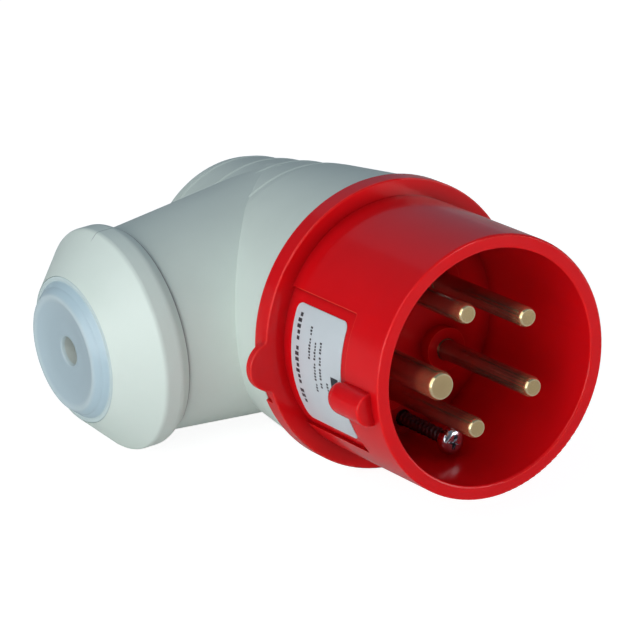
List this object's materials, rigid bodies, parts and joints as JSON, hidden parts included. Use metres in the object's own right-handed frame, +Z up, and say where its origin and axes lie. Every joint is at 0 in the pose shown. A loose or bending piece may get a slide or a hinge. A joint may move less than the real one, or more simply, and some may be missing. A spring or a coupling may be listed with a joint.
{
  "type": "angled industrial plug",
  "caption": "Angled industrial plug: red shrouded insert with brass pins, grey elbow housing and a side cable gland with a soft pierced seal.",
  "frame": {"origin": "centre of the shroud's rim, on the plug axis", "axes": "+Z up, the plug lying on a table on its flange, barrel and gland nut; the mouth looks towards -Y and a little up, the gland towards -X and a little down"},
  "size_m": [0.1038, 0.1197, 0.0733],
  "materials": {
    "grey_shell": "satin moulded",
    "grey_nut": "satin moulded",
    "red_insert": "glossy moulded",
    "gasket": "matt",
    "label": "printed film",
    "steel": "zinc plated",
    "brass": "turned",
    "cage": "satin moulded",
    "seal": "translucent"
  },
  "bodies": {
    "root": {"cable_seal": "seal", "clamp_cage": "cage", "contact_insert": "red_insert", "elbow_housing": "grey_shell", "fixing_screws": "steel", "front_gasket": "gasket", "gland_nut": "grey_nut", "pin_earth": "brass", "pin_l1": "brass", "pin_l2": "brass", "pin_l3": "brass", "pin_neutral": "brass", "rating_label": "label", "terminal_screws": "steel"}
  },
  "joints": []
}
